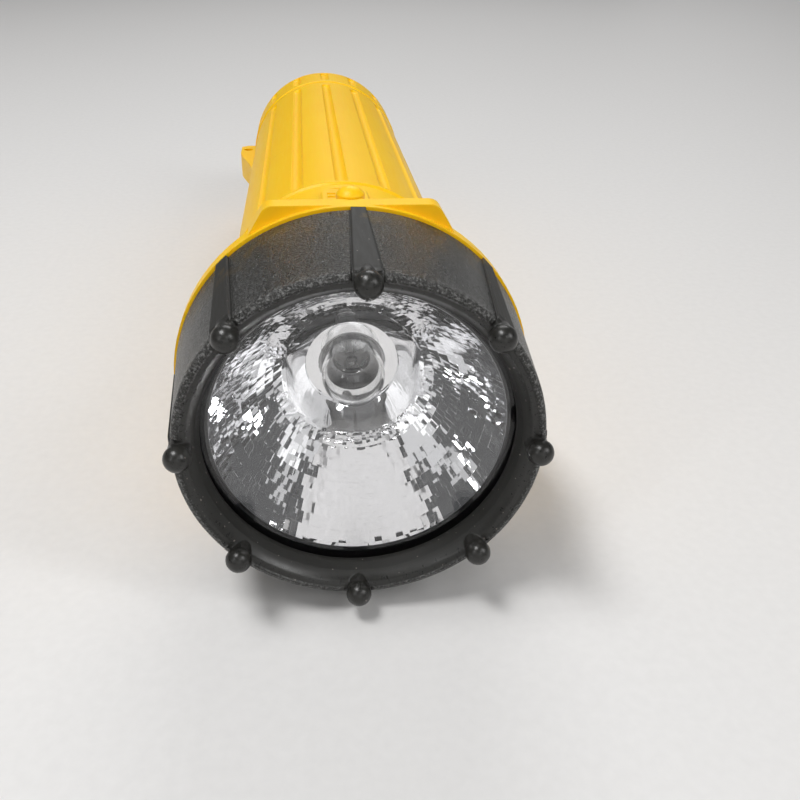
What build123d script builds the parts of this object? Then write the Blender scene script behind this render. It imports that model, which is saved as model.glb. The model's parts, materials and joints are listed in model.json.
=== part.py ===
from build123d import *
import os
from math import atan, degrees, sqrt

# Two-cell hand lamp for firefighters: a yellow moulded casing, a black bumper bezel,
# a faceted-reflector lamp unit, a slide switch with a flash button, and a screw tail cap.
# Millimetres. It is drawn with the lamp axis on Y, the light leaving towards -Y, and Y = 0
# at the ring of bumpers. Every piece is shifted to the row frame when it is written.

# ---- driving dimensions ------------------------------------------------------------------
# bezel
bumper_ring_radius = 27.5
bumper_count = 8
bumper_radius = 2.1
bumper_foot_radius = 1.8
bumper_turn = 1.6
rim_inner_radius = 25.3
rim_front = 1.2
rim_width = 1.3
lens_opening_radius = 24.8
bezel_front_radius = 28.75
bezel_rear_radius = 30.55
bezel_front = 3.2
bezel_rear = 24.5
bezel_bore = 28.0
pocket_radius = 26.4
rib_width_front = 4.0
rib_width_rear = 2.4
rib_height = 0.35

# lamp unit
lens_radius = 26.2
lens_front = 5.95
lens_thickness = 1.75
lens_bevel = 0.35
gasket_thickness = 0.6
focal_length = 5.42
mirror_vertex = 34.1
mirror_wall = 1.25
mirror_hole = 8.5
mirror_collar = 0.8
mirror_neck_wall = 1.2

# bulb
glass_radius = 5.6
glass_wall = 0.5
glass_front = 20.9
bulb_seat = 35.05
bulb_flange_radius = 6.7
bulb_flange_thickness = 0.8
bulb_base_radius = 4.6
bulb_base_wall = 0.35
bulb_base_rear = 45.0
bulb_end = 49.3
pinch_at = 32.85
lead_wire = 0.22
lead_spacing = 0.75
filament_half = 1.6
filament_wire = 0.2
retainer_wall = 1.25
retainer_reach = 3.0

# casing
mouth = 9.9
mouth_bore = 24.9
thread_crest = 27.93
thread_root = 27.0
thread_pitch = 3.0
flange_radius = 30.94
flange_front = 24.7
flange_rear = 28.2
seal_groove_radius = 26.3
seal_groove_width = 2.0
seal_groove_at = 20.7
neck_radius = 24.2
neck_start = 52.0
bead_at = 63.1
bead_height = 0.45
barrel_radius = 23.9
barrel_bore = 21.4
barrel_start = 54.0
barrel_rear = 187.0
tail_bore = 20.5
tail_bore_start = 172.0
groove_count = 16
groove_radius = 1.6
groove_depth = 0.8
groove_start = 66.5
groove_end = 182.0

# shelf on top of the head, and the foot under it that keeps the lamp from rolling
shelf_top = 30.8
shelf_half_width = 13.9
shelf_rear = 29.2
foot_reach = 31.1
foot_half_width = 12.0
foot_rear = 40.0
shelf_flare = 3.0
shelf_side = 5.0
shelf_corner = 2.4

# lanyard lug
lug_reach = 28.3
lug_start = 154.0
lug_top = 178.0
lug_thickness = 7.0
lug_corner = 1.8
lanyard_hole_radius = 1.5
lanyard_hole_inset = 2.3
lanyard_hole_at = 181.5

# cells, standard D size
cell_radius = 17.1
cell_length = 61.5
cell_end_radius = 14.8
cell_ring_radius = 14.6
nub_radius = 4.75
nub_height = 1.5
first_cell = 57.0
cell_count = 2
cell_clearance = 0.4
centring_rib_count = 8
disc_radius = 18.6
disc_front = 52.4
disc_rear = 54.8
rivet_radius = 2.0
rivet_head = 4.2

# switch, over the lamp unit and in the neck
deck = 24.0
niche_half_width = 6.2
niche_front = 35.8
niche_rear = 59.5
slot_half_width = 1.75
slot_front = 40.9
slot_rear = 52.2
pad_top = 25.5
pad_bottom = 21.2
carrier_top = 19.0
carrier_bottom = 15.2
carrier_half_width = 9.5
carrier_front = 29.5
carrier_rear = 49.8
screw_offset = 7.4
screw_at = 40.0
screw_radius = 0.8
screw_head_radius = 2.0
screw_head_height = 1.2
screw_end = 22.4
sheet = 0.5
strip_half_width = 2.5
branch_inner = 3.4
branch_outer = 5.2
thumb_half_width = 4.6
thumb_middle = 50.0
thumb_half_length = 6.5
thumb_height = 0.8
thumb_ridges = 4
thumb_ridge_height = 0.35
thumb_ridge_pitch = 2.0
stem_bottom = 20.0
wiper_half_length = 4.0

# flash button
button_at = 31.3
button_radius = 2.4
button_top = 32.4
button_dome = 1.3
button_collar_radius = 3.1
button_collar_low = 26.2
button_collar_high = 27.55
button_stem_radius = 1.3
button_stem_low = 21.0
button_seal_at = 28.3
button_seal_section = 0.3
chamber_radius = 3.3
chamber_top = 27.6
chamber_bottom = 22.5
washer_top = 23.0
flash_wire = 0.25
flash_coil_radius = 2.2
flash_turns = 3

# tail cap
cap_front = 187.3
cap_rear = 207.0
cap_radius = 24.3
cap_recess_radius = 18.0
cap_recess = 1.2
plug_front = 174.0
plug_crest = 20.43
plug_root = 19.7
plug_bore = 17.6
plug_seal_at = 183.8
cap_floor = 200.5
tail_leg_half_width = 2.0
tail_leg_top = 18.4
tail_ring_outer = 20.2
tail_ring_inner = 17.95
tail_wire = 0.6
tail_coil_wide = 12.0
tail_coil_narrow = 7.0
tail_turns = 4.5

# ---- derived -----------------------------------------------------------------------------
last_cell_rear = first_cell + cell_count * cell_length
lens_rear = lens_front + lens_thickness
mirror_front = lens_rear + gasket_thickness
mirror_hole_at = mirror_vertex - mirror_hole**2 / (4 * focal_length)
filament_at = mirror_vertex - focal_length
strip_top = carrier_top + sheet
row_middle = (cap_rear - bumper_radius) / 2
row_shift = Pos(0, -row_middle, foot_reach)


# ---- shape helpers -----------------------------------------------------------------------
def turned(points, rounded=()):
    """Turn a closed outline of (radius, y) points about the lamp axis, some corners rounded."""
    face = make_face(Polyline(*points, close=True))
    for corner, radius in rounded:
        face = fillet(face.vertices().sort_by_distance(corner)[0], radius)
    return revolve(face, Axis.Y)


def rod(radius, front, rear):
    """A solid cylinder on the lamp axis."""
    return Pos(0, (front + rear) / 2, 0) * Rot(90, 0, 0) * Cylinder(radius, rear - front)


def tube(outer, inner, front, rear):
    """A hollow cylinder on the lamp axis."""
    return rod(outer, front, rear) - rod(inner, front, rear)


def block(x, y, z):
    """A box between a lower and an upper limit on each axis."""
    size = [high - low for low, high in (x, y, z)]
    middle = [(high + low) / 2 for low, high in (x, y, z)]
    return Pos(*middle) * Box(*size)


def post(radius, low, high, x=0.0, y=0.0):
    """An upright cylinder."""
    return Pos(x, y, (low + high) / 2) * Cylinder(radius, high - low)


def side_cut(points, half_width):
    """A (y, z) outline made as wide as asked across X."""
    face = Plane.YZ * make_face(Polyline(*points, close=True))
    return extrude(face, half_width, both=True)


def around(piece, count, start=0.0):
    """Copies of a piece, evenly turned about the lamp axis."""
    return [Rot(0, start + 360 * step / count, 0) * piece for step in range(count)]


def ring_of(section_radius, ring_radius, at):
    """An O-ring on the lamp axis."""
    return Pos(0, at, 0) * Rot(90, 0, 0) * Torus(ring_radius, section_radius)


def ridge(root, crest, at, half_base=0.9, half_crest=0.3):
    """One thread ridge, standing out from the root radius."""
    points = (
        (root - 0.2, at - half_base),
        (root, at - half_base),
        (crest, at - half_crest),
        (crest, at + half_crest),
        (root, at + half_base),
        (root - 0.2, at + half_base),
    )
    return turned(points)


def mirror_radius(at):
    """Radius of the reflecting paraboloid at a distance along the axis."""
    return sqrt(4 * focal_length * (mirror_vertex - at))


# ---- bezel -------------------------------------------------------------------------------
def bumper():
    """A ball on the rim, with a round foot that runs back into the lip, at the top."""
    ball = Pos(0, 0, bumper_ring_radius) * Sphere(bumper_radius)
    foot = Pos(0, 0, bumper_ring_radius - 0.1) * rod(bumper_foot_radius, 0.1, bezel_front + 0.8)
    return ball + foot


def rib():
    """A low rib along the bezel, narrowing from its bumper to the rear edge, at the top."""
    front = rim_front + 0.8
    outline = (
        (front, bezel_front_radius - 1.0),
        (front, bezel_front_radius),
        (bezel_front, bezel_front_radius + rib_height),
        (bezel_rear, bezel_rear_radius + rib_height),
        (bezel_rear, bezel_rear_radius - 1.0),
    )
    plan = Polyline(
        (-rib_width_front / 2, front),
        (rib_width_front / 2, front),
        (rib_width_rear / 2, bezel_rear),
        (-rib_width_rear / 2, bezel_rear),
        close=True,
    )
    return side_cut(outline, rib_width_front) & extrude(make_face(plan), bezel_rear_radius + 5.0)


def make_bezel():
    """Screw-on bumper bezel: a bell with a rounded lip, a lens ledge and a plain bore."""
    step = mouth - 0.3
    ledge = lens_front - 0.05
    rim_corner = (rim_inner_radius + rim_width, rim_front + 0.5)
    lip_corner = (bezel_front_radius - 0.1, rim_front + 0.4)
    rear_corner = (bezel_rear_radius, bezel_rear)
    outline = (
        (rim_inner_radius, bezel_front + 0.1),
        rim_corner,
        (bumper_ring_radius + 0.2, rim_front),
        lip_corner,
        rear_corner,
        (bezel_bore + 0.5, bezel_rear),
        (bezel_bore, bezel_rear - 0.6),
        (bezel_bore, step),
        (pocket_radius, step),
        (pocket_radius, ledge),
        (lens_opening_radius, ledge),
        (lens_opening_radius, ledge - 0.85),
    )
    bezel = turned(outline, ((rim_corner, 0.9), (lip_corner, 0.8), (rear_corner, 0.5)))
    for piece in around(bumper() + rib(), bumper_count, start=bumper_turn):
        bezel += piece
    return bezel


# ---- lamp unit ---------------------------------------------------------------------------
def make_lens():
    """Clear flat lens with a small bevel on its edges."""
    outline = (
        (0, lens_front),
        (lens_radius - lens_bevel, lens_front),
        (lens_radius, lens_front + lens_bevel),
        (lens_radius, lens_rear - lens_bevel),
        (lens_radius - lens_bevel, lens_rear),
        (0, lens_rear),
    )
    return turned(outline)


def make_lens_gasket():
    """Flat rubber ring between the lens and the reflector's rim."""
    return tube(lens_radius, mirror_radius(mirror_front) + 0.5, lens_rear, mirror_front)


def make_reflector():
    """Paraboloid shell with a rim, and a neck behind it that seats the bulb's flange."""
    neck_outer = mirror_hole + mirror_neck_wall
    rear_at = mirror_hole_at - 0.4
    rim_rear = mouth - 0.05
    collar_at = mirror_hole_at + mirror_collar
    bulb_bore = glass_radius + 0.4
    steps = 8
    inner_depth = mirror_hole_at - mirror_front
    outer_depth = rear_at - rim_rear
    front_face = [mirror_front + inner_depth * step / steps for step in range(steps + 1)]
    back_face = [rim_rear + outer_depth * step / steps for step in range(steps + 1)]
    inner = Spline(*[(mirror_radius(at), at) for at in front_face])
    outer = Spline(*[(mirror_radius(at) + mirror_wall, at) for at in back_face])
    hole = Polyline(
        inner @ 1,
        (mirror_hole, collar_at),
        (bulb_bore, collar_at),
        (bulb_bore, bulb_seat),
        (neck_outer, bulb_seat),
        (neck_outer, rear_at + 0.6),
        outer @ 1,
    )
    rim = Polyline(outer @ 0, (lens_radius, rim_rear), (lens_radius, mirror_front), inner @ 0)
    return revolve(make_face([inner, hole, outer, rim]), Axis.Y)


# ---- bulb --------------------------------------------------------------------------------
def make_bulb_glass():
    """Hollow glass envelope with a round end."""
    centre = glass_front + glass_radius
    neck = bulb_base_radius - bulb_base_wall
    shoulder = bulb_seat - 3.0
    neck_rear = bulb_seat + 3.0
    bore = glass_radius - glass_wall
    outer = rod(glass_radius, centre, shoulder) + Pos(0, centre, 0) * Sphere(glass_radius)
    inner = rod(bore, centre, shoulder) + Pos(0, centre, 0) * Sphere(bore)
    outer += turned(((0, shoulder), (glass_radius, shoulder), (neck, bulb_seat), (0, bulb_seat)))
    inner += turned(((0, shoulder), (bore, shoulder), (neck - glass_wall, bulb_seat), (0, bulb_seat)))
    outer += rod(neck, bulb_seat, neck_rear)
    return outer - inner - rod(neck - glass_wall, bulb_seat, neck_rear + 1.0)


def make_bulb_stem(leads):
    """Glass bead that carries the lead wires, with its pinch inside the base."""
    neck = bulb_base_radius - bulb_base_wall - glass_wall
    stem = Pos(0, pinch_at, 0) * Sphere(1.1)
    stem += rod(neck, bulb_seat + 1.0, bulb_seat + 3.0)
    stem += rod(0.6, pinch_at + 0.2, bulb_seat + 2.0)
    for lead in leads:
        stem -= lead
    return stem


def make_bulb_leads():
    """Two lead wires that hold up the filament."""
    leads = []
    for side in (-1, 1):
        tip = (side * filament_half, filament_at, 0)
        knee = (side * lead_spacing, pinch_at, 0)
        end = (side * lead_spacing, bulb_seat + 6.0, 0)
        path = FilletPolyline(tip, knee, end, radius=1.0)
        section = Plane(origin=tip, z_dir=path % 0) * Circle(lead_wire)
        leads.append(sweep(section, path=path).solid())
    return leads


def make_filament():
    """The coiled filament, as one straight fine rod between the lead tips."""
    clear_of_leads = filament_at - lead_wire - filament_wire
    return Pos(0, clear_of_leads, 0) * Rot(0, 90, 0) * Cylinder(filament_wire, 2 * filament_half + 0.4)


def make_bulb_base():
    """Brass base shell with the locating flange."""
    bore = bulb_base_radius - bulb_base_wall
    flange_back = bulb_seat + bulb_flange_thickness
    turn_in = bulb_base_radius - 1.4
    outline = (
        (bore, bulb_seat),
        (bulb_flange_radius, bulb_seat),
        (bulb_flange_radius, flange_back),
        (bulb_base_radius, flange_back),
        (bulb_base_radius, bulb_base_rear - 0.6),
        (bulb_base_radius - 0.6, bulb_base_rear),
        (turn_in, bulb_base_rear),
        (turn_in, bulb_base_rear - 0.4),
        (bore, bulb_base_rear - 1.2),
    )
    return turned(outline)


def make_bulb_insulator():
    """Dark glass cone between the base shell and the centre contact."""
    outline = (
        (0, bulb_base_rear),
        (bulb_base_radius - 0.9, bulb_base_rear),
        (2.2, bulb_base_rear + 2.0),
        (0, bulb_base_rear + 2.0),
    )
    return turned(outline)


def make_bulb_tip():
    """Solder contact at the rear of the bulb."""
    front = bulb_base_rear + 2.0
    outline = ((0, front), (1.8, front), (1.8, bulb_end - 0.7), (1.1, bulb_end), (0, bulb_end))
    return turned(outline, (((1.1, bulb_end), 0.5),))


def make_bulb_retainer():
    """Brass cup on the reflector's neck that traps the bulb's flange."""
    bore = mirror_hole + mirror_neck_wall + 0.05
    flange_back = bulb_seat + bulb_flange_thickness
    cup_rear = flange_back + 1.3
    cup_hole = bulb_base_radius + 0.5
    outline = (
        (bore, bulb_seat - retainer_reach),
        (bore + retainer_wall, bulb_seat - retainer_reach),
        (bore + retainer_wall, cup_rear),
        (cup_hole, cup_rear),
        (cup_hole, flange_back),
        (bore, flange_back),
    )
    return turned(outline)


# ---- casing ------------------------------------------------------------------------------
def casing_outline():
    """Outer radius of the casing against distance, from the mouth to the tail."""
    groove_rear = seal_groove_at + seal_groove_width
    return (
        (thread_root, mouth),
        (thread_root, seal_groove_at - 0.8),
        (thread_crest, seal_groove_at - 0.8),
        (thread_crest, seal_groove_at),
        (seal_groove_radius, seal_groove_at),
        (seal_groove_radius, groove_rear),
        (thread_crest, groove_rear),
        (thread_crest, flange_front),
        (flange_radius, flange_front),
        (flange_radius, flange_rear),
        (flange_radius - 1.2, flange_rear + 0.6),
        (neck_radius, neck_start),
        (neck_radius, bead_at - 0.9),
        (neck_radius + bead_height, bead_at - 0.4),
        (neck_radius + bead_height, bead_at + 0.4),
        (barrel_radius, bead_at + 0.9),
        (barrel_radius, barrel_rear),
    )


def shelf(top, half_width, flat_rear):
    """Flat-topped block on the head, behind the flange's rim, its ends dropping steeply."""
    shoulder = top - shelf_side
    root = shoulder - 6.0
    corners = [(side * half_width, top) for side in (-1, 1)]
    section = make_face(
        Polyline(
            (-half_width - shelf_flare, shoulder),
            *corners,
            (half_width + shelf_flare, shoulder),
            (half_width, root),
            (-half_width, root),
            close=True,
        )
    )
    for corner in corners:
        section = fillet(section.vertices().sort_by_distance(corner)[0], shelf_corner)
    front = flange_front + 1.0
    rear = flat_rear + 7.0
    prism = Pos(0, front, 0) * extrude(Plane.XZ * section, front - rear)
    slope = (
        (flat_rear, top + 1.0),
        (flat_rear, top),
        (flat_rear + 4.0, shoulder),
        (rear + 1.0, shoulder - 3.0),
        (rear + 1.0, top + 1.0),
    )
    return prism - side_cut(slope, 2 * half_width)


def grooves(front, rear, radius):
    """Round-ended grip grooves, cut along the outside."""
    centre = radius + groove_radius - groove_depth
    cutter = Pos(0, 0, centre) * rod(groove_radius, front, rear)
    for end in (front, rear):
        cutter += Pos(0, end, centre) * Sphere(groove_radius)
    return around(cutter, groove_count)


def make_casing():
    """One-piece moulded casing: threaded mouth, flange, shelf, foot, neck, grip, tail bore."""
    full = turned(((0, mouth), *casing_outline(), (0, barrel_rear)))
    casing = full + shelf(shelf_top, shelf_half_width, shelf_rear)
    casing += Rot(0, 180, 0) * shelf(foot_reach, foot_half_width, foot_rear)
    for step in range(3):
        casing += ridge(thread_root, thread_crest, mouth + 2.2 + step * thread_pitch)
    for cutter in grooves(groove_start, groove_end, barrel_radius):
        if abs(cutter.center().X + barrel_radius) > lug_thickness - 2.0:
            casing -= cutter
    hollow = turned(
        (
            (0, mouth),
            (mouth_bore, mouth),
            (mouth_bore, flange_rear),
            (barrel_bore, barrel_start),
            (barrel_bore, tail_bore_start),
            (tail_bore, tail_bore_start),
            (tail_bore, barrel_rear),
            (0, barrel_rear),
        )
    )
    inside = inner_ribs() + strip_rail() + button_boss() + switch_pad()
    casing -= hollow
    casing += inside & full
    return casing - switch_openings()


def inner_ribs():
    """Eight ribs that centre the cells and hold the contact disc."""
    reach = barrel_bore + 1.0
    stop = disc_front - 0.1
    seat = disc_rear + 0.1
    cell_bore = cell_radius + cell_clearance
    profile = (
        (stop - 2.3, reach),
        (stop - 2.3, cell_bore - 1.0),
        (stop, cell_bore - 1.0),
        (stop, disc_radius + 0.15),
        (seat, disc_radius + 0.15),
        (seat, cell_bore),
        (tail_bore_start, cell_bore),
        (tail_bore_start, reach),
    )
    pieces = around(side_cut(profile, 1.0), centring_rib_count, start=180 / centring_rib_count)
    ribs = pieces[0]
    for piece in pieces[1:]:
        ribs += piece
    return ribs


def strip_rail():
    """Flat rail under the barrel's top that backs the contact strip."""
    width = strip_half_width + 0.5
    return block((-width, width), (first_cell + 1.0, tail_bore_start), (strip_top, barrel_bore + 1.0))


def button_boss():
    """Boss around the flash button, hanging from the head's inside."""
    return post(chamber_radius + 1.7, chamber_bottom, chamber_top + 0.5, y=button_at)


def switch_pad():
    """Thick pad under the switch deck, with two screw posts for the carrier."""
    width = niche_half_width + 3.8
    pad = block((-width, width), (niche_front - 0.8, niche_rear + 0.5), (pad_bottom, pad_top))
    for side in (-1, 1):
        pad += post(1.9, carrier_top, barrel_bore, x=side * screw_offset, y=screw_at)
    return pad


def switch_openings():
    """Thumb niche, slide slot, button bore and chamber, and screw pilot holes."""
    niche = block((-niche_half_width, niche_half_width), (niche_front, niche_rear), (deck, 34.0))
    niche = fillet(niche.edges().filter_by(Axis.Z), 3.0)
    slot_x = (-slot_half_width, slot_half_width)
    slot = block(slot_x, (slot_front, slot_rear), (pad_bottom - 2.0, deck + 1.0))
    bore = post(button_radius + 0.07, chamber_top - 1.0, button_top + 3.0, y=button_at)
    chamber = post(chamber_radius, chamber_bottom - 0.5, chamber_top, y=button_at)
    openings = niche + slot + bore + chamber
    for side in (-1, 1):
        pilot = post(screw_radius + 0.02, carrier_top - 1.0, screw_end + 0.2)
        openings += Pos(side * screw_offset, screw_at, 0) * pilot
    return openings


def make_lanyard_lug():
    """Low fin on the -X side near the tail, rising slowly from the barrel, with a hole."""
    middle = lug_start + 8.0
    rise = Spline(
        (-barrel_radius + 0.6, lug_start - 2.0),
        (-barrel_radius - 0.9, middle),
        (-lug_reach + 0.6, lug_top - 5.0),
        (-lug_reach, lug_top),
        tangents=((-0.1, 1.0), (0.0, 1.0)),
    )
    rest = Polyline(
        (-lug_reach, lug_top),
        (-lug_reach, barrel_rear - lug_corner),
        (-lug_reach + lug_corner, barrel_rear),
        (-tail_bore, barrel_rear),
        (-tail_bore, lug_start - 2.0),
        (-barrel_radius + 0.6, lug_start - 2.0),
    )
    fin = extrude(make_face([rise, rest]), lug_thickness / 2, both=True)
    fin -= rod(barrel_radius, lug_start - 5.0, barrel_rear + 1.0)
    hole_x = -lug_reach + lanyard_hole_inset
    return fin - post(lanyard_hole_radius, -lug_thickness, lug_thickness, x=hole_x, y=lanyard_hole_at)


def make_head_seal():
    """O-ring in the groove in front of the flange."""
    section = 0.8
    return ring_of(section, seal_groove_radius + section, seal_groove_at + seal_groove_width / 2)


# ---- switch ------------------------------------------------------------------------------
def make_switch_carrier():
    """Moulded block that carries the fixed contacts under the switch."""
    carrier = block(
        (-carrier_half_width, carrier_half_width),
        (carrier_front, carrier_rear),
        (carrier_bottom, carrier_top),
    )
    head_seat = carrier_bottom + screw_head_height
    for side in (-1, 1):
        x = side * screw_offset
        carrier -= post(screw_radius + 0.3, 10.0, 20.0, x=x, y=screw_at)
        carrier -= post(screw_head_radius + 0.1, 14.0, head_seat, x=x, y=screw_at)
    relief = block((-2.9, 2.9), (33.0, 48.0), (14.0, 16.8))
    return fillet((carrier - relief).edges().filter_by(Axis.Z).group_by(Axis.Y)[0], 1.5)


def make_carrier_screws():
    """Two small screws from below the carrier into the casing's posts."""
    head_seat = carrier_bottom + screw_head_height
    head = post(screw_head_radius, carrier_bottom, head_seat)
    shank = post(screw_radius, head_seat, screw_end)
    screw = head + shank - Pos(0, 0, carrier_bottom) * Box(3.0, 0.5, 0.9)
    return Pos(-screw_offset, screw_at, 0) * screw + Pos(screw_offset, screw_at, 0) * screw


def make_contact_strip():
    """Stamped brass strip along the barrel, with a side branch under the flash button."""
    height = (carrier_top, strip_top)
    start = thumb_middle - 4.5
    strip_end = plug_front - sheet - 0.15
    main = block((-strip_half_width, strip_half_width), (start, strip_end), height)
    bridge = block((strip_half_width - 0.5, branch_outer), (start, start + 2.0), height)
    branch = block((branch_inner, branch_outer), (carrier_front + 0.1, start + 2.0), height)
    return main + bridge + branch


def make_lamp_contact():
    """Spring leaf from the switch down to the bulb retainer."""
    retainer_top = mirror_hole + mirror_neck_wall + retainer_wall + 0.05
    leaf = retainer_top + 0.1
    front = carrier_front - sheet
    points = (
        (screw_at + 1.5, carrier_top),
        (screw_at + 1.5, strip_top),
        (front, strip_top),
        (front, 14.8),
        (34.4, leaf),
        (36.6, leaf),
        (36.6, leaf + 0.4),
        (34.6, leaf + 0.4),
        (carrier_front, 14.95),
        (carrier_front, carrier_top),
    )
    return side_cut(points, strip_half_width)


def make_switch_slide():
    """Ribbed thumb piece of the slide switch, with its stem."""
    low = deck + 0.05
    top = low + thumb_height
    front = thumb_middle - thumb_half_length
    rear = thumb_middle + thumb_half_length
    thumb = block((-thumb_half_width, thumb_half_width), (front, rear), (low, top))
    thumb = fillet(thumb.edges().filter_by(Axis.Z), 2.0)
    thumb = chamfer(thumb.faces().sort_by(Axis.Z)[-1].edges(), 0.35)
    ridge_half = thumb_half_width - 1.3
    for step in range(thumb_ridges):
        at = thumb_middle + (step - (thumb_ridges - 1) / 2) * thumb_ridge_pitch
        ridge_z = (top - 0.3, top + thumb_ridge_height)
        thumb += block((-ridge_half, ridge_half), (at - 0.45, at + 0.45), ridge_z)
    stem_half = slot_half_width - 0.15
    stem_y = (thumb_middle - 2.0, thumb_middle + 2.0)
    return thumb + block((-stem_half, stem_half), stem_y, (stem_bottom, low + 0.2))


def make_switch_wiper():
    """Brass wiper under the slide, which bridges the strip and the lamp contact."""
    reach = (thumb_middle - wiper_half_length, thumb_middle + wiper_half_length)
    wiper = block((-2.0, 2.0), reach, (strip_top + 0.05, stem_bottom))
    return chamfer(wiper.edges().filter_by(Axis.X).group_by(Axis.Z)[0], 0.3)


# ---- flash button ------------------------------------------------------------------------
def make_flash_button():
    """Domed push button with a collar and a stem."""
    dome_base = button_top - button_dome
    dome_radius = (button_radius**2 + button_dome**2) / (2 * button_dome)
    button = post(button_radius, button_collar_high - 0.5, dome_base, y=button_at)
    ball = Pos(0, button_at, button_top - dome_radius) * Sphere(dome_radius)
    button += ball & post(button_radius, dome_base, button_top + 1.0, y=button_at)
    button += post(button_collar_radius, button_collar_low, button_collar_high, y=button_at)
    button += post(button_stem_radius, button_stem_low, button_collar_low, y=button_at)
    seal_radius = button_radius - 0.25
    return button - Pos(0, button_at, button_seal_at) * Torus(seal_radius, button_seal_section + 0.06)


def make_button_seal():
    """Small O-ring around the button."""
    return Pos(0, button_at, button_seal_at) * Torus(button_radius - 0.25, button_seal_section)


def make_flash_contact():
    """Brass plate under the button, which bridges the branch and the lamp contact."""
    return block(
        (-1.6, branch_outer),
        (button_at - 1.5, button_at + 1.5),
        (button_stem_low - 0.4, button_stem_low),
    )


def make_button_retainer():
    """Washer that closes the button's spring chamber."""
    washer = post(chamber_radius, chamber_bottom, washer_top, y=button_at)
    return washer - post(button_stem_radius + 0.15, chamber_bottom - 0.5, washer_top + 1.0, y=button_at)


def coil(radius_low, radius_high, length, turns, wire):
    """A round-wire compression spring on Z, standing on Z = 0."""
    cone = degrees(atan((radius_high - radius_low) / length))
    path = Helix(length / turns, length, radius_low, cone_angle=cone)
    section = Plane(origin=path @ 0, z_dir=path % 0) * Circle(wire)
    return sweep(section, path=path, is_frenet=True)


def make_flash_spring():
    """Spring under the button's collar."""
    play = 0.03
    length = button_collar_low - washer_top - 2 * (flash_wire + play)
    spring = coil(flash_coil_radius, flash_coil_radius, length, flash_turns, flash_wire)
    return Pos(0, button_at, washer_top + flash_wire + play) * spring


# ---- power -------------------------------------------------------------------------------
def make_contact_disc():
    """Insulating disc between the lamp unit and the front cell."""
    return tube(disc_radius, rivet_radius + 0.05, disc_front, disc_rear)


def make_centre_rivet():
    """Brass rivet through the disc, from the bulb's tip to the front cell."""
    front = bulb_end + 0.05
    head_front = first_cell - 1.2
    outline = (
        (0, front),
        (2.6, front),
        (3.4, front + 0.95),
        (rivet_radius, front + 0.95),
        (rivet_radius, head_front),
        (rivet_head, head_front),
        (rivet_head, first_cell),
        (0, first_cell),
    )
    return turned(outline)


def cell_front(index):
    """Where a cell's positive nub begins."""
    return first_cell + index * cell_length


def make_cell_can(index):
    """Jacketed body of a cell."""
    front = cell_front(index) + nub_height
    rear = cell_front(index) + cell_length - 0.4
    outline = (
        (0, front + 0.5),
        (cell_ring_radius, front + 0.5),
        (cell_ring_radius, front),
        (cell_radius, front),
        (cell_radius, rear),
        (cell_end_radius, rear),
        (cell_end_radius, rear - 0.3),
        (0, rear - 0.3),
    )
    corners = (((cell_radius, front), 0.9), ((cell_radius, rear), 0.7))
    return turned(outline, corners)


def make_cell_seal(index):
    """Plastic ring around the positive terminal."""
    front = cell_front(index) + nub_height
    return tube(cell_ring_radius, nub_radius, front + 0.1, front + 0.5)


def make_cell_terminal(index):
    """Positive nub."""
    front = cell_front(index)
    rear = front + nub_height + 0.5
    outline = ((0, front), (nub_radius, front), (nub_radius, rear), (0, rear))
    return turned(outline, (((nub_radius, front), 0.6),))


def make_cell_base(index):
    """Negative end plate."""
    rear = cell_front(index) + cell_length
    return rod(cell_end_radius, rear - 0.7, rear)


# ---- tail --------------------------------------------------------------------------------
def make_tail_cap():
    """Screw tail cap with a plug, a spring well and a flat rear rim to stand on."""
    side_corner = (cap_radius, cap_rear - 2.0)
    rear_corner = (cap_radius - 2.0, cap_rear)
    floor_rear = cap_rear - cap_recess
    outline = (
        (plug_bore, plug_front),
        (plug_root, plug_front),
        (plug_root, plug_seal_at - 0.6),
        (plug_crest, plug_seal_at - 0.6),
        (plug_crest, plug_seal_at),
        (plug_root - 0.7, plug_seal_at),
        (plug_root - 0.7, plug_seal_at + 2.0),
        (plug_crest, plug_seal_at + 2.0),
        (plug_crest, cap_front),
        (cap_radius, cap_front),
        side_corner,
        rear_corner,
        (cap_recess_radius, cap_rear),
        (cap_recess_radius - 1.0, floor_rear),
        (0, floor_rear),
        (0, cap_floor),
        (plug_bore, cap_floor),
    )
    corners = (((cap_radius, cap_front), 0.5), (side_corner, 1.2), (rear_corner, 1.0))
    cap = turned(outline, corners)
    for step in range(2):
        cap += ridge(plug_root, plug_crest, plug_front + 2.5 + step * thread_pitch)
    for cutter in grooves(cap_front + 4.0, cap_rear - 5.0, cap_radius):
        cap -= cutter
    leg_slot = tail_leg_half_width + 0.6
    return cap - block(
        (-leg_slot, leg_slot), (plug_front - 1.0, cap_floor), (15.0, tail_leg_top + 0.2)
    )


def make_tail_seal():
    """O-ring on the tail cap's plug."""
    return ring_of(0.66, plug_root + 0.06, plug_seal_at + 1.0)


def make_tail_contact():
    """Steel plate in the cap with a leg to the ring that meets the contact strip."""
    across = (-tail_leg_half_width, tail_leg_half_width)
    ring_rear = plug_front - 0.05
    ring = tube(tail_ring_outer, tail_ring_inner, ring_rear - sheet, ring_rear)
    leg = block(across, (plug_front - sheet, cap_floor), (tail_ring_inner, tail_leg_top))
    plate = rod(plug_bore - 0.3, cap_floor - sheet, cap_floor)
    tab = block(across, (cap_floor - sheet, cap_floor), (10.0, tail_leg_top))
    return ring + leg + plate + tab


def make_tail_spring():
    """Conical spring between the rear cell and the cap's plate."""
    play = 0.05
    plate = cap_floor - sheet
    length = plate - last_cell_rear - 2 * (tail_wire + play)
    spring = coil(tail_coil_wide, tail_coil_narrow, length, tail_turns, tail_wire)
    return Pos(0, plate - tail_wire - play, 0) * Rot(90, 0, 0) * spring


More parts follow.
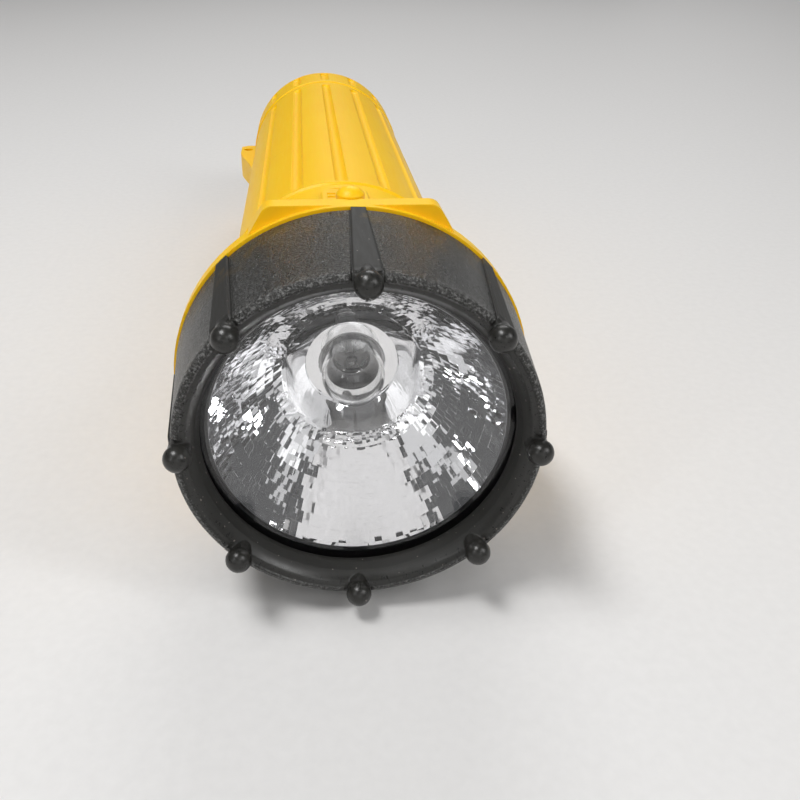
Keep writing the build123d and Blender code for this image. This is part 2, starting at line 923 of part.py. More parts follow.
# ---- write every sub-part ----------------------------------------------------------------
def all_parts():
    """Every sub-part under its node's name."""
    leads = make_bulb_leads()
    parts = {
        "casing": make_casing(),
        "lanyard_lug": make_lanyard_lug(),
        "head_seal": make_head_seal(),
        "bezel": make_bezel(),
        "lens": make_lens(),
        "lens_gasket": make_lens_gasket(),
        "reflector": make_reflector(),
        "bulb_glass": make_bulb_glass(),
        "bulb_stem": make_bulb_stem(leads),
        "bulb_leads": leads[0] + leads[1],
        "bulb_filament": make_filament(),
        "bulb_base": make_bulb_base(),
        "bulb_insulator": make_bulb_insulator(),
        "bulb_tip": make_bulb_tip(),
        "bulb_retainer": make_bulb_retainer(),
        "switch_carrier": make_switch_carrier(),
        "carrier_screws": make_carrier_screws(),
        "contact_strip": make_contact_strip(),
        "lamp_contact": make_lamp_contact(),
        "switch_slide": make_switch_slide(),
        "switch_wiper": make_switch_wiper(),
        "flash_button": make_flash_button(),
        "button_seal": make_button_seal(),
        "flash_contact": make_flash_contact(),
        "flash_spring": make_flash_spring(),
        "button_retainer": make_button_retainer(),
        "contact_disc": make_contact_disc(),
        "centre_rivet": make_centre_rivet(),
        "tail_cap": make_tail_cap(),
        "tail_seal": make_tail_seal(),
        "tail_contact": make_tail_contact(),
        "tail_spring": make_tail_spring(),
    }
    for index, place in enumerate(("front", "rear")):
        parts[f"{place}_cell_can"] = make_cell_can(index)
        parts[f"{place}_cell_seal"] = make_cell_seal(index)
        parts[f"{place}_cell_terminal"] = make_cell_terminal(index)
        parts[f"{place}_cell_base"] = make_cell_base(index)
    return parts


os.makedirs("parts", exist_ok=True)
for name, piece in all_parts().items():
    export_step(row_shift * piece, f"parts/{name}.step")
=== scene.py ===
import json
import math
import random

import bmesh
import bpy
from mathutils import Euler, Matrix, Vector


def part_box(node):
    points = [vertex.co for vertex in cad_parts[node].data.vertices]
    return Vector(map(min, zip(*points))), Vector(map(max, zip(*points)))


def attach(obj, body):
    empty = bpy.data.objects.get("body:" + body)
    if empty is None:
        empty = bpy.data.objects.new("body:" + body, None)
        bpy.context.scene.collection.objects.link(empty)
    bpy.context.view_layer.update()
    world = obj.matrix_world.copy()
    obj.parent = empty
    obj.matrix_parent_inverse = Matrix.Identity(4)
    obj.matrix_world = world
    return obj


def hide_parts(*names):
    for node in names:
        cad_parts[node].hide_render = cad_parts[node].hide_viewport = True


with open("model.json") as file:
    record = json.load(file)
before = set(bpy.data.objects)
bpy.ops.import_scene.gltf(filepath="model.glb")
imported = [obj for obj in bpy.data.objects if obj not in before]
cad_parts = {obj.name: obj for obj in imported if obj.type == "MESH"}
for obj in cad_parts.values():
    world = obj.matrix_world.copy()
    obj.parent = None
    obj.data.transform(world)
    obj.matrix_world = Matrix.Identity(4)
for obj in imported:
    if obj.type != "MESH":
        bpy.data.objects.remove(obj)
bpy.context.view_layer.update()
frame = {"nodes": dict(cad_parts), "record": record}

# A two-cell hand lamp for firefighters, lying on its foot and its tail cap. Everything is in
# metres in the frame of the CAD: the lamp axis lies along Y and the light leaves towards -Y.

MM = 0.001

# ---- places read from the CAD ------------------------------------------------------------
lens_low, lens_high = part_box("lens")
mirror_low, mirror_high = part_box("reflector")
glass_low, glass_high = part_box("bulb_glass")
filament_low, filament_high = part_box("bulb_filament")
bezel_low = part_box("bezel")[0]
casing_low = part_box("casing")[0]
cap_low, cap_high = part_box("tail_cap")

AXIS_Z = (lens_low.z + lens_high.z) / 2
BUMPER_RADIUS = 2.1 * MM
RING_Y = bezel_low.y + BUMPER_RADIUS  # where the ring of bumpers stands on the lamp axis
BUMPER_COUNT = 8
BUMPER_TURN = math.radians(1.6)
RIB_HALF_WIDTH = 2.2 * MM  # at the ring of bumpers, with a little of the bezel beside the rib
RIB_TAPER = 0.9 / 21.3  # how much of that is lost per metre towards the bezel's rear edge
FOOT_REAR = 40 * MM  # where the foot under the head ends, behind the ring
CAP_TOUCH = 2 * MM  # how far in front of its rear face the tail cap meets the table


# ---- mesh helpers ------------------------------------------------------------------------
def new_piece(name, bm):
    """An object made from a bmesh, with its normals facing out."""
    bmesh.ops.recalc_face_normals(bm, faces=bm.faces)
    mesh = bpy.data.meshes.new(name)
    bm.to_mesh(mesh)
    bm.free()
    piece = bpy.data.objects.new(name, mesh)
    bpy.context.scene.collection.objects.link(piece)
    return piece


def on_axis(radius, angle, y):
    """A point at a radius and an angle from the top, about the lamp axis."""
    return Vector((radius * math.sin(angle), y, AXIS_Z + radius * math.cos(angle)))


def shade(piece, crease):
    """Smooth shading, save at edges that turn by more than crease degrees."""
    piece.data.polygons.foreach_set("use_smooth", [True] * len(piece.data.polygons))
    piece.data.set_sharp_from_angle(angle=math.radians(crease))
    return piece


def turned_shell(name, outline, steps):
    """A (radius, y) outline turned about the lamp axis, with a pole where its radius is 0."""
    bm = bmesh.new()
    rows = []
    for radius, y in outline:
        angles = [math.tau * step / steps for step in range(steps if radius > 0 else 1)]
        rows.append([bm.verts.new(on_axis(radius, angle, y)) for angle in angles])
    for row, after in zip(rows, rows[1:]):
        for step in range(steps):
            corners = (row[step % len(row)], row[(step + 1) % len(row)])
            corners += (after[(step + 1) % len(after)], after[step % len(after)])
            bm.faces.new(list(dict.fromkeys(corners)))
    return shade(new_piece(name, bm), 60)


def arc(centre, radius, start, end, steps):
    """Points of a (radius, y) outline on a circle, its angles in degrees from the +radius side."""
    points = []
    for step in range(steps + 1):
        angle = math.radians(start + (end - start) * step / steps)
        points.append((centre[0] + radius * math.cos(angle), centre[1] + radius * math.sin(angle)))
    return points


def wire(name, points, radius, sides=8):
    """A round wire along a list of points, with closed ends."""
    bm = bmesh.new()
    rings = []
    for index, point in enumerate(points):
        before = points[max(index - 1, 0)]
        after = points[min(index + 1, len(points) - 1)]
        turn = (after - before).to_track_quat("Z", "X").to_matrix()
        ring = []
        for side in range(sides):
            angle = math.tau * side / sides
            offset = turn @ Vector((math.cos(angle), math.sin(angle), 0)) * radius
            ring.append(bm.verts.new(point + offset))
        rings.append(ring)
    for ring, after in zip(rings, rings[1:]):
        for side in range(sides):
            other = (side + 1) % sides
            bm.faces.new((ring[side], ring[other], after[other], after[side]))
    bm.faces.new(rings[0])
    bm.faces.new(rings[-1])
    return shade(new_piece(name, bm), 50)


# ---- material helpers --------------------------------------------------------------------
class Finish:
    """A material around its Principled shader, with short calls for the nodes that repeat."""

    def __init__(self, name):
        self.material = bpy.data.materials.new(name)
        self.material.use_nodes = True
        self.tree = self.material.node_tree
        self.shader = self.tree.nodes["Principled BSDF"]
        self.place = self.add("ShaderNodeTexCoord").outputs["Object"]

    def add(self, kind, inputs=None, **settings):
        """A node with some of its settings and inputs given."""
        node = self.tree.nodes.new(kind)
        for key, value in settings.items():
            setattr(node, key, value)
        for key, value in (inputs or {}).items():
            self.feed(node.inputs[key], value)
        return node

    def feed(self, socket, value):
        """Links a socket, or sets its value."""
        if isinstance(value, bpy.types.NodeSocket):
            self.tree.links.new(value, socket)
        else:
            socket.default_value = value

    def set(self, **values):
        """Sets the shader's own sockets, named with underscores for spaces."""
        for key, value in values.items():
            self.feed(self.shader.inputs[key.replace("_", " ")], value)

    def math(self, operation, first, second=0.0):
        node = self.add("ShaderNodeMath", {0: first, 1: second}, operation=operation)
        return node.outputs[0]

    def rise(self, value, low, high):
        """0 below low and 1 above high, with a soft step between. It falls if high is lower."""
        node = self.add("ShaderNodeMapRange", interpolation_type="SMOOTHSTEP")
        first, last = (0.0, 1.0) if low < high else (1.0, 0.0)
        values = {"Value": value, "From Min": min(low, high), "From Max": max(low, high)}
        for key, given in {**values, "To Min": first, "To Max": last}.items():
            self.feed(node.inputs[key], given)
        return node.outputs["Result"]

    def noise(self, size, detail=2.0, roughness=0.5, stretch=(1.0, 1.0, 1.0)):
        """Noise whose features are about size metres, stretched along the axes."""
        scale = tuple(1.0 / (size * share) for share in stretch)
        mapping = self.add("ShaderNodeMapping", {"Vector": self.place, "Scale": scale})
        inputs = {"Vector": mapping.outputs[0], "Scale": 1.0}
        inputs |= {"Detail": detail, "Roughness": roughness}
        return self.add("ShaderNodeTexNoise", inputs).outputs["Fac"]

    def blend(self, factor, first, second):
        """A mix of two colours."""
        node = self.add("ShaderNodeMix", data_type="RGBA")
        for index, value in ((0, factor), (6, first), (7, second)):
            self.feed(node.inputs[index], value)
        return node.outputs[2]

    def bump(self, height, distance, strength=1.0, under=None):
        """A bump of that height in metres, over another normal."""
        inputs = {"Height": height, "Distance": distance, "Strength": strength}
        if under is not None:
            inputs["Normal"] = under
        return self.add("ShaderNodeBump", inputs).outputs["Normal"]

    def eased(self, radius, samples=4):
        """A normal that rounds off sharp edges."""
        return self.add("ShaderNodeBevel", {"Radius": radius}, samples=samples).outputs["Normal"]

    def axis_place(self):
        """(x, y behind the ring of bumpers, height over the axis, radius) as sockets."""
        split = self.add("ShaderNodeSeparateXYZ", {0: self.place})
        x = split.outputs["X"]
        along = self.math("SUBTRACT", split.outputs["Y"], RING_Y)
        height = self.math("SUBTRACT", split.outputs["Z"], AXIS_Z)
        across, upward = self.math("MULTIPLY", x, x), self.math("MULTIPLY", height, height)
        return x, along, height, self.math("SQRT", self.math("ADD", across, upward))


def colour(red, green, blue):
    """A linear colour with full alpha."""
    return (red, green, blue, 1.0)


def yellow_plastic():
    """Satin moulded plastic: warm in its thin edges, with drag marks and a little dirt."""
    finish = Finish("yellow_plastic")
    broad = finish.noise(18 * MM, 3.0)
    fine = finish.noise(0.35 * MM, 3.0, 0.6)
    drag = finish.noise(0.5 * MM, 4.0, 0.7, (1.0, 30.0, 1.0))
    clean = finish.blend(broad, colour(0.95, 0.52, 0.001), colour(0.98, 0.60, 0.003))
    stain = finish.rise(finish.noise(6 * MM, 6.0, 0.7), 0.62, 0.8)
    stained = finish.math("MULTIPLY", stain, 0.35)
    finish.set(
        Base_Color=finish.blend(stained, clean, colour(0.55, 0.27, 0.01)),
        Roughness=finish.math("ADD", finish.math("MULTIPLY", drag, 0.25), 0.3),
        Specular_IOR_Level=0.3,
        Subsurface_Weight=0.25,
        Subsurface_Radius=(1.0, 0.4, 0.05),
        Subsurface_Scale=1.5 * MM,
    )
    soft = finish.eased(0.3 * MM)
    rough = finish.bump(fine, 0.012 * MM, 0.5, soft)
    finish.set(Normal=finish.bump(drag, 0.02 * MM, 0.35, rough))
    return finish.material


def black_plastic():
    """Charcoal plastic, spark-grained between the ribs and smooth on them and the bumpers."""
    finish = Finish("black_plastic")
    x, along, height, radius = finish.axis_place()
    angle = finish.math("SUBTRACT", finish.math("ARCTAN2", x, height), BUMPER_TURN)
    turns = finish.math("DIVIDE", angle, math.tau / BUMPER_COUNT)
    from_rib = finish.math("ABSOLUTE", finish.math("SUBTRACT", turns, finish.math("ROUND", turns)))
    from_rib = finish.math("MULTIPLY", from_rib, math.tau / BUMPER_COUNT)
    across = finish.math("MULTIPLY", from_rib, radius)
    rib_edge = finish.math("SUBTRACT", RIB_HALF_WIDTH, finish.math("MULTIPLY", along, RIB_TAPER))
    beside_rib = finish.math("SUBTRACT", across, rib_edge)
    between_ribs = finish.rise(beside_rib, 0.0, 0.35 * MM)
    outside = finish.rise(radius, 27.2 * MM, 27.9 * MM)
    behind_lip = finish.rise(along, 0.9 * MM, 1.3 * MM)
    grained = finish.math("MULTIPLY", finish.math("MULTIPLY", between_ribs, outside), behind_lip)
    lip = finish.rise(along, 4.2 * MM, 2.4 * MM)
    fine = finish.noise(0.42 * MM, 2.0, 0.7)
    coarse = finish.noise(0.5 * MM, 2.0, 0.7)
    rougher = finish.math("ADD", fine, finish.math("MULTIPLY", coarse, lip))
    grain = finish.math("MULTIPLY", rougher, grained)
    streaks = finish.noise(0.5 * MM, 4.0, 0.7, (1.0, 14.0, 1.0))
    worn = finish.noise(3 * MM, 5.0, 0.6)
    smooth = finish.blend(streaks, colour(0.009, 0.010, 0.010), colour(0.028, 0.026, 0.022))
    # Painted sheen: the grain's peaks are lighter than the smooth plastic, and lighter still along
    # the lip as a painted highlight.
    painted_sheen_mask = finish.math("MULTIPLY", finish.rise(fine, 0.45, 0.7), grained)
    painted_peak_sheen = finish.blend(lip, colour(0.085, 0.086, 0.083), colour(0.17, 0.17, 0.165))
    base = finish.blend(painted_sheen_mask, smooth, painted_peak_sheen)
    to_rear = finish.rise(along, 12 * MM, 21 * MM)
    rubbed = finish.math("MULTIPLY", to_rear, finish.rise(worn, 0.5, 0.62))
    base = finish.blend(finish.math("MULTIPLY", rubbed, 0.5), base, colour(0.085, 0.055, 0.012))
    dust = finish.math("MULTIPLY", finish.rise(finish.noise(0.6 * MM, 1.0), 0.76, 0.8), 0.6)
    on_rib = finish.math("SUBTRACT", finish.rise(along, 2.2 * MM, 3.2 * MM), grained)
    rib_matt = finish.math("MULTIPLY", finish.math("MAXIMUM", on_rib, 0.0), 0.3)
    matt = finish.math("ADD", rib_matt, 0.16)
    finish.set(
        Base_Color=finish.blend(dust, base, colour(0.35, 0.3, 0.27)),
        Roughness=finish.math("ADD", finish.math("MULTIPLY", streaks, 0.3), matt),
        Specular_IOR_Level=0.45,
    )
    ripple = finish.bump(finish.noise(1.5 * MM, 3.0), 0.02 * MM, 0.4, finish.eased(0.4 * MM, 6))
    finish.set(Normal=finish.bump(grain, 0.3 * MM, 1.0, ripple))
    return finish.material


def black_rubber():
    """Matt rubber with a faint bloom."""
    finish = Finish("black_rubber")
    bloom = finish.noise(1.2 * MM, 4.0, 0.6)
    finish.set(
        Base_Color=finish.blend(bloom, colour(0.012, 0.012, 0.012), colour(0.03, 0.03, 0.031)),
        Roughness=0.7,
        Normal=finish.bump(finish.noise(0.3 * MM, 2.0), 0.02 * MM, 0.5),
    )
    return finish.material


def clear_plastic():
    """Polished clear lens with hair scratches."""
    finish = Finish("clear_plastic")
    hairs = finish.noise(0.4 * MM, 3.0, 0.7, (14.0, 1.0, 1.0))
    finish.set(
        Base_Color=colour(1.0, 1.0, 1.0),
        Roughness=0.0,
        IOR=1.49,
        Transmission_Weight=1.0,
        Normal=finish.bump(finish.rise(hairs, 0.66, 0.74), 0.001 * MM, 0.4),
    )
    return finish.material


def clear_glass():
    """Blown glass with faint ripples."""
    finish = Finish("clear_glass")
    finish.set(
        Base_Color=colour(1.0, 1.0, 1.0),
        Roughness=0.0,
        IOR=1.5,
        Transmission_Weight=1.0,
        Normal=finish.bump(finish.noise(2.5 * MM, 1.0), 0.02 * MM, 0.5),
    )
    return finish.material


DARK_RIM_FROM = 23.7 * MM  # just inside the reflector's flat rim


def mirror_coat():
    """Vacuum-metallised plastic, with faint orange peel and dust in its bowl, and dark, rough and
    not metallic outside it.
    """
    finish = Finish("mirror_coat")
    radius = finish.axis_place()[3]
    in_bowl = finish.rise(radius, DARK_RIM_FROM, DARK_RIM_FROM - 0.06 * MM)
    haze = finish.rise(finish.noise(1.5 * MM, 5.0, 0.65), 0.6, 0.85)
    polish = finish.math("ADD", finish.math("MULTIPLY", haze, 0.06), 0.03)
    rim_roughness = finish.math("MULTIPLY", finish.math("SUBTRACT", 1.0, in_bowl), 0.5)
    finish.set(
        # Outside the bowl the colour is dark, and the surface is rough and not metallic.
        Base_Color=finish.blend(in_bowl, colour(0.02, 0.02, 0.021), colour(0.93, 0.93, 0.94)),
        Metallic=in_bowl,
        Roughness=finish.math("ADD", polish, rim_roughness),
        Normal=finish.bump(finish.noise(1.0 * MM, 2.0), 0.004 * MM, 0.5),
    )
    return finish.material


def metal(name, light, dark, roughness, stretch):
    """Plain metal with rolling marks along its stretch and some tarnish."""
    finish = Finish(name)
    marks = finish.noise(0.25 * MM, 3.0, 0.6, stretch)
    tarnish = finish.rise(finish.noise(2.5 * MM, 5.0, 0.65), 0.45, 0.75)
    finish.set(
        Base_Color=finish.blend(tarnish, colour(*light), colour(*dark)),
        Metallic=1.0,
        Roughness=finish.math("ADD", finish.math("MULTIPLY", marks, 0.2), roughness),
        Normal=finish.bump(marks, 0.006 * MM, 0.5, finish.eased(0.1 * MM)),
    )
    return finish.material


def dull(name, light, dark, roughness, grain):
    """A plain moulded, fired or wrapped surface with a fine grain."""
    finish = Finish(name)
    finish.set(
        Base_Color=finish.blend(finish.noise(4 * MM, 4.0, 0.6), colour(*light), colour(*dark)),
        Roughness=roughness,
        Normal=finish.bump(finish.noise(grain, 2.0), 0.02 * MM, 0.5, finish.eased(0.15 * MM)),
    )
    return finish.material


def all_finishes():
    """One material for each material slot of the record."""
    along = (1.0, 12.0, 1.0)
    return {
        "yellow_plastic": yellow_plastic(),
        "black_plastic": black_plastic(),
        "black_rubber": black_rubber(),
        "clear_plastic": clear_plastic(),
        "clear_glass": clear_glass(),
        "mirror_coat": mirror_coat(),
        "brass": metal("brass", (0.80, 0.58, 0.25), (0.42, 0.27, 0.10), 0.18, along),
        "steel": metal("steel", (0.66, 0.66, 0.67), (0.42, 0.41, 0.40), 0.2, along),
        "solder": metal("solder", (0.55, 0.55, 0.56), (0.3, 0.3, 0.31), 0.35, (1.0, 1.0, 1.0)),
        "dark_glass": dull("dark_glass", (0.02, 0.02, 0.035), (0.035, 0.03, 0.05), 0.12, 1.5 * MM),
        "grey_plastic": dull("grey_plastic", (0.3, 0.3, 0.31), (0.22, 0.22, 0.23), 0.5, 0.3 * MM),
        "cell_jacket": dull("cell_jacket", (0.05, 0.055, 0.07), (0.035, 0.04, 0.05), 0.3, 0.8 * MM),
    }


# ---- reflector ---------------------------------------------------------------------------
FOCAL_LENGTH = 5.42 * MM
VERTEX_Y = mirror_high.y - 0.95 * MM
MIRROR_WALL = 1.25 * MM
HOLE_RADIUS = 8.5 * MM
BULB_BORE = 6.0 * MM
NECK_RADIUS = 9.7 * MM
FACETS_FROM = 12.65 * MM
FACET_ROWS = 9  # this and the next are estimates: the photograph's facets can't be counted
FACET_COLUMNS = 116
FACET_TILT = 0.021 * MM  # how far a tile's corners may stand out of line
COLLAR_DEPTH = 0.8 * MM
RIM_DEPTH = 1.55 * MM  # from the front of the rim to the back of its flange
EDGE = 0.1 * MM  # how far a sharp corner of the collar is broken
BOWL_STEPS = 10
BACK_STEPS = 12
PROFILE_STEPS = 400


def mirror_y(radius):
    """Where the reflecting paraboloid stands on the axis at a radius."""
    return VERTEX_Y - radius**2 / (4 * FOCAL_LENGTH)


def mirror_point(radius, angle, proud=0.0):
    """A point on the paraboloid, moved along its normal towards the light."""
    slope = radius / (2 * FOCAL_LENGTH)
    length = math.hypot(1.0, slope)
    inward = radius - proud * slope / length
    return on_axis(inward, angle, mirror_y(radius) - proud / length)


def arc_length_radii(start, end, count):
    """Radii that divide the paraboloid's profile into equal lengths."""
    radii = [start + (end - start) * step / PROFILE_STEPS for step in range(PROFILE_STEPS + 1)]
    lengths = [0.0]
    for before, after in zip(radii, radii[1:]):
        lengths.append(lengths[-1] + math.hypot(after - before, mirror_y(after) - mirror_y(before)))
    wanted = [lengths[-1] * step / count for step in range(count + 1)]
    return [min(zip(lengths, radii), key=lambda pair: abs(pair[0] - w))[1] for w in wanted]


def facet_row(bm, inner, outer, shift, draws):
    """One ring of flat mirror tiles. Returns its inner and outer edges as half-tile spans."""
    step = math.tau / FACET_COLUMNS
    inner_spans, outer_spans = {}, {}
    tiles = []
    for column in range(FACET_COLUMNS):
        left = (column + shift) * step
        right = left + step
        side, end = (draws.uniform(-FACET_TILT, FACET_TILT) for _ in range(2))
        corners = [
            mirror_point(inner, left, -side - end),
            mirror_point(inner, right, side - end),
            mirror_point(outer, right, side + end),
            mirror_point(outer, left, end - side),
        ]
        inner_left, inner_right, outer_right, outer_left = [bm.verts.new(c) for c in corners]
        inner_middle = bm.verts.new((corners[0] + corners[1]) / 2)
        outer_middle = bm.verts.new((corners[2] + corners[3]) / 2)
        inner_edge = (inner_left, inner_middle, inner_right)
        bm.faces.new(inner_edge + (outer_right, outer_middle, outer_left))
        half = round(2 * (column + shift))
        inner_spans[half % (2 * FACET_COLUMNS)] = (inner_left, inner_middle)
        inner_spans[(half + 1) % (2 * FACET_COLUMNS)] = (inner_middle, inner_right)
        outer_spans[half % (2 * FACET_COLUMNS)] = (outer_left, outer_middle)
        outer_spans[(half + 1) % (2 * FACET_COLUMNS)] = (outer_middle, outer_right)
        tiles.append((inner_left, inner_right, outer_right, outer_left))
    for tile, after in zip(tiles, tiles[1:] + tiles[:1]):
        bm.faces.new((tile[1], tile[2], after[3], after[0]))
    return inner_spans, outer_spans


def join_spans(bm, first, second):
    """Closes the small steps between two edges that are cut at the same half tiles."""
    count = 2 * FACET_COLUMNS
    for half in range(count):
        a, b = first[half], second[half]
        bm.faces.new((a[0], a[1], b[1], b[0]))
        after_a, after_b = first[(half + 1) % count], second[(half + 1) % count]
        seam = list(dict.fromkeys((a[1], after_a[0], after_b[0], b[1])))
        if len(seam) > 2:
            bm.faces.new(seam)


def ring_row(bm, radius, y):
    """A plain ring of vertices at every half tile."""
    count = 2 * FACET_COLUMNS
    return [bm.verts.new(on_axis(radius, math.tau * half / count, y)) for half in range(count)]


def join_rows(bm, row, after):
    """A band of faces between two plain rings."""
    count = len(row)
    faces = []
    for half in range(count):
        other = (half + 1) % count
        faces.append(bm.faces.new((row[half], row[other], after[other], after[half])))
    return faces


def row_spans(row):
    """A plain ring as half-tile spans."""
    return {half: (row[half], row[(half + 1) % len(row)]) for half in range(len(row))}


def make_reflector():
    """Reflector shell: a smooth bowl with a collar, and staggered rings of flat mirror tiles."""
    draws = random.Random(11)
    bm = bmesh.new()
    rim_radius = 2 * math.sqrt(FOCAL_LENGTH * (VERTEX_Y - mirror_low.y))
    span = FACETS_FROM - HOLE_RADIUS
    bowl = [HOLE_RADIUS + span * step / BOWL_STEPS for step in range(BOWL_STEPS + 1)]
    bowl_rows = [ring_row(bm, radius, mirror_y(radius)) for radius in bowl]
    plain = []
    for row, after in zip(bowl_rows, bowl_rows[1:]):
        plain += join_rows(bm, row, after)
    radii = arc_length_radii(FACETS_FROM + 0.05 * MM, rim_radius - 0.25 * MM, FACET_ROWS)
    edge = row_spans(bowl_rows[-1])
    for index, (inner, outer) in enumerate(zip(radii, radii[1:])):
        inner_spans, outer_spans = facet_row(bm, inner, outer, 0.5 * (index % 2), draws)
        join_spans(bm, edge, inner_spans)
        edge = outer_spans
    lip = ring_row(bm, rim_radius, mirror_low.y)
    join_spans(bm, edge, row_spans(lip))
    seat_y = mirror_high.y
    collar_y = mirror_y(HOLE_RADIUS) + COLLAR_DEPTH
    back = [(mirror_high.x, mirror_low.y), (mirror_high.x, mirror_low.y + RIM_DEPTH)]
    span = rim_radius - NECK_RADIUS
    back_radii = [rim_radius - span * step / BACK_STEPS for step in range(BACK_STEPS)]
    back += [(radius + MIRROR_WALL, mirror_y(radius) + RIM_DEPTH) for radius in back_radii]
    back += [(NECK_RADIUS, mirror_y(HOLE_RADIUS) + 0.3 * MM), (NECK_RADIUS, seat_y)]
    back += [(BULB_BORE, seat_y), (BULB_BORE, collar_y + EDGE), (BULB_BORE + EDGE, collar_y)]
    back += [(HOLE_RADIUS - EDGE, collar_y), (HOLE_RADIUS, collar_y - EDGE)]
    back += [(HOLE_RADIUS, mirror_y(HOLE_RADIUS) + EDGE)]
    rows = [lip] + [ring_row(bm, radius, y) for radius, y in back] + [bowl_rows[0]]
    for row, after in zip(rows, rows[1:]):
        plain += join_rows(bm, row, after)
    for face in plain:
        face.smooth = True
    piece = new_piece("reflector_shell", bm)
    piece.data.set_sharp_from_angle(angle=math.radians(30))
    for polygon in piece.data.polygons:
        if len(polygon.vertices) == 6:  # only the tiles have six corners
            polygon.use_smooth = False
    return piece


# ---- bulb --------------------------------------------------------------------------------
def make_bulb_glass():
    """Tubular bulb with a round end and a drawn-in neck, blown thin."""
    radius = (glass_high.x - glass_low.x) / 2
    wall = 0.5 * MM
    front = glass_low.y
    shoulder = mirror_high.y - 3.0 * MM
    neck = 4.25 * MM
    rear = glass_high.y
    centre = (0.0, front + radius)
    outer = arc(centre, radius, -90, 0, 24)
    outer += [(radius, shoulder), (neck, mirror_high.y), (neck, rear)]
    inner = arc(centre, radius - wall, -90, 0, 24)
    inner += [(radius - wall, shoulder), (neck - wall, mirror_high.y), (neck - wall, rear)]
    outline = outer + inner[::-1]
    outline = [(0.0 if r < 1e-9 else r, y) for r, y in outline]
    return turned_shell("bulb_envelope", outline, 96)


def make_filament():
    """Fine coiled wire between the tips of the leads, with its straight ends."""
    turns = 22
    coil_radius = 0.17 * MM
    half = filament_high.x - 0.35 * MM
    middle = (filament_low + filament_high) / 2
    points = [middle + Vector((-filament_high.x, 0, 0))]
    steps = turns * 12
    for step in range(steps + 1):
        angle = math.tau * turns * step / steps
        x = -half + 2 * half * step / steps
        across, up = coil_radius * math.cos(angle), coil_radius * math.sin(angle)
        points.append(middle + Vector((x, across, up)))
    points.append(middle + Vector((filament_high.x, 0, 0)))
    return wire("filament_coil", points, 0.035 * MM, 6)


# ---- assemble ----------------------------------------------------------------------------
finishes = all_finishes()


def paint(piece, slot):
    """Gives a piece the finish of a material slot."""
    piece.data.materials.clear()
    piece.data.materials.append(finishes[slot])


def place(piece, body, slot, *nodes):
    """Paints a piece, lets it ride on a body and stand for CAD nodes."""
    paint(piece, slot)
    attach(piece, body)
    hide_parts(*nodes)


for subpart in frame["record"]["subparts"]:
    node = frame["nodes"][subpart["node"]]
    for slot in node.material_slots:
        slot.material = finishes[subpart["material_slot"]]

place(make_reflector(), "lamp_unit", "mirror_coat", "reflector")
place(make_bulb_glass(), "lamp_unit", "clear_glass", "bulb_glass")
place(make_filament(), "lamp_unit", "steel", "bulb_filament")


# ---- stage -------------------------------------------------------------------------------
def make_floor():
    """Plain pale table top, tilted as the lamp's foot and tail cap set it."""
    foot_rear = Vector((0, RING_Y + FOOT_REAR, casing_low.z))
    tail = Vector((0, cap_high.y - CAP_TOUCH, cap_low.z))
    lean = math.atan2(tail.z - foot_rear.z, tail.y - foot_rear.y)
    bm = bmesh.new()
    bmesh.ops.create_grid(bm, x_segments=1, y_segments=1, size=6.0)
    floor = new_piece("table_top", bm)
    floor.rotation_euler = Euler((lean, 0, 0))
    floor.location = foot_rear
    finish = Finish("table_paint")
    speckle = finish.noise(2 * MM, 3.0)
    finish.set(
        Base_Color=finish.blend(speckle, colour(0.70, 0.69, 0.68), colour(0.76, 0.75, 0.74)),
        Roughness=0.6,
        Normal=finish.bump(finish.noise(1 * MM, 2.0), 0.02 * MM, 0.3),
    )
    floor.data.materials.append(finish.material)


def soft_light(name, at, size, power, target):
    """A rectangular soft box aimed at a point."""
    lamp = bpy.data.lights.new(name, "AREA")
    lamp.shape = "RECTANGLE"
    lamp.size, lamp.size_y = size
    lamp.energy = power
    holder = bpy.data.objects.new(name, lamp)
    holder.location = at
    holder.rotation_euler = (Vector(target) - Vector(at)).to_track_quat("-Z", "Y").to_euler()
    holder.visible_camera = False
    bpy.context.scene.collection.objects.link(holder)


PANEL_COUNT = 15
PANEL_DISTANCE = 1.1
ROOM_STRENGTH = 0.09


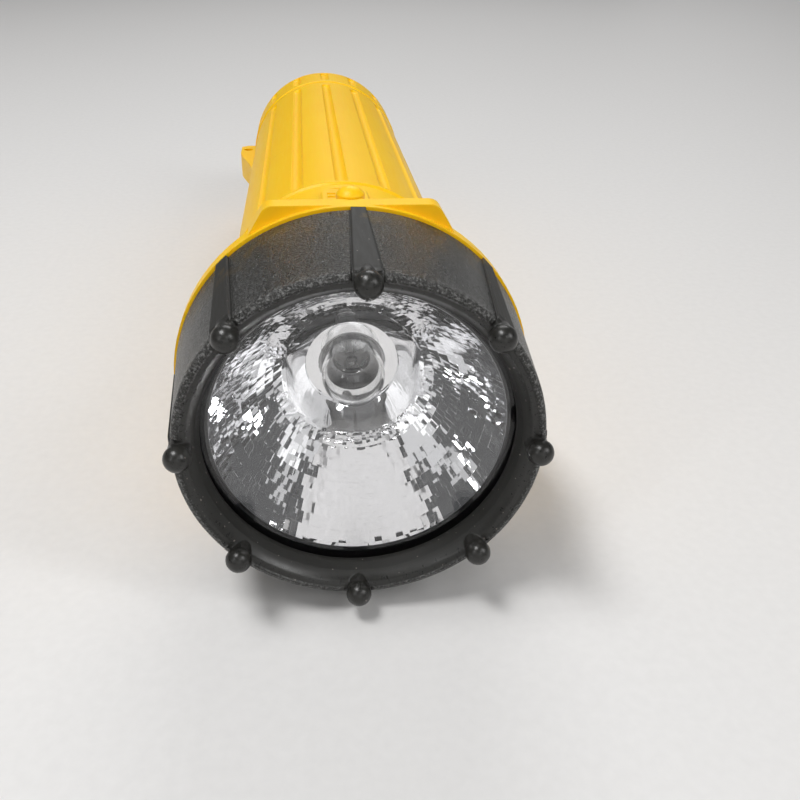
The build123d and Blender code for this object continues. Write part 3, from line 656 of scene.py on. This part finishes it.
def make_lights():
    """Soft boxes overhead and to the sides, dim panels all round and a plain pale room."""
    head = (0, RING_Y + 20 * MM, AXIS_Z)
    soft_light("key", (-0.28, -0.18, 0.80), (0.35, 0.18), 4.6, head)
    soft_light("fill", (0.60, -0.45, 0.55), (0.16, 0.40), 1.8, head)
    soft_light("back", (0.15, 0.80, 0.80), (0.60, 0.25), 3.0, head)
    soft_light("front", (0.05, -1.10, 0.30), (1.20, 0.50), 1.2, head)
    soft_light("strip_left", (-0.55, -0.60, 0.45), (0.08, 0.50), 0.8, head)
    soft_light("strip_right", (0.35, -0.75, 0.70), (0.40, 0.06), 0.8, head)
    draws = random.Random(5)
    for number in range(PANEL_COUNT):
        bearing = math.tau * (number + draws.uniform(-0.3, 0.3)) / PANEL_COUNT
        height = draws.uniform(0.15, 0.9)
        at = (PANEL_DISTANCE * math.sin(bearing), PANEL_DISTANCE * math.cos(bearing), height)
        size = (draws.uniform(0.15, 0.35), draws.uniform(0.15, 0.5))
        power = draws.uniform(0.8, 2.2) * size[0] * size[1]
        soft_light(f"panel_{number}", at, size, power, head)
    world = bpy.data.worlds.new("room")
    world.use_nodes = True
    background = world.node_tree.nodes["Background"]
    background.inputs["Color"].default_value = colour(0.97, 0.98, 1.0)
    background.inputs["Strength"].default_value = ROOM_STRENGTH
    bpy.context.scene.world = world


# Solved from the circles of the ring of bumpers, the lens, the reflector's hole and the bulb.
CAMERA_YAW, CAMERA_DOWN, CAMERA_ROLL = -6.216, 29.59, 2.18  # degrees
CAMERA_FROM_RING = (-6.24, -105.4, 69.8)  # mm
# Then turned about the ring, so these may be as far out as they are large.
CAMERA_NUDGE_Y, CAMERA_NUDGE_Z = 0.73, -0.9  # degrees


def turn_about(axis, degrees):
    """A rotation about a world axis."""
    return Matrix.Rotation(math.radians(degrees), 3, axis)


def make_camera():
    """A camera above and in front of the lamp, a little to its left, rolled slightly."""
    turn = turn_about("Z", CAMERA_YAW) @ turn_about("X", 90 - CAMERA_DOWN)
    turn = turn @ turn_about("Z", CAMERA_ROLL)
    nudge = turn_about("Y", CAMERA_NUDGE_Y) @ turn_about("Z", CAMERA_NUDGE_Z)
    at = nudge @ Vector(CAMERA_FROM_RING) * MM + Vector((0, RING_Y, AXIS_Z))
    turn = nudge @ turn
    data = bpy.data.cameras.new("camera")
    data.lens = 37.6
    data.sensor_width = 36.0
    data.clip_start = 0.005
    data.clip_end = 50.0
    camera = bpy.data.objects.new("camera", data)
    camera.matrix_world = Matrix.Translation(at) @ turn.to_4x4()
    bpy.context.scene.collection.objects.link(camera)
    bpy.context.scene.camera = camera


make_floor()
make_lights()
make_camera()
bpy.context.scene.view_settings.view_transform = "Standard"
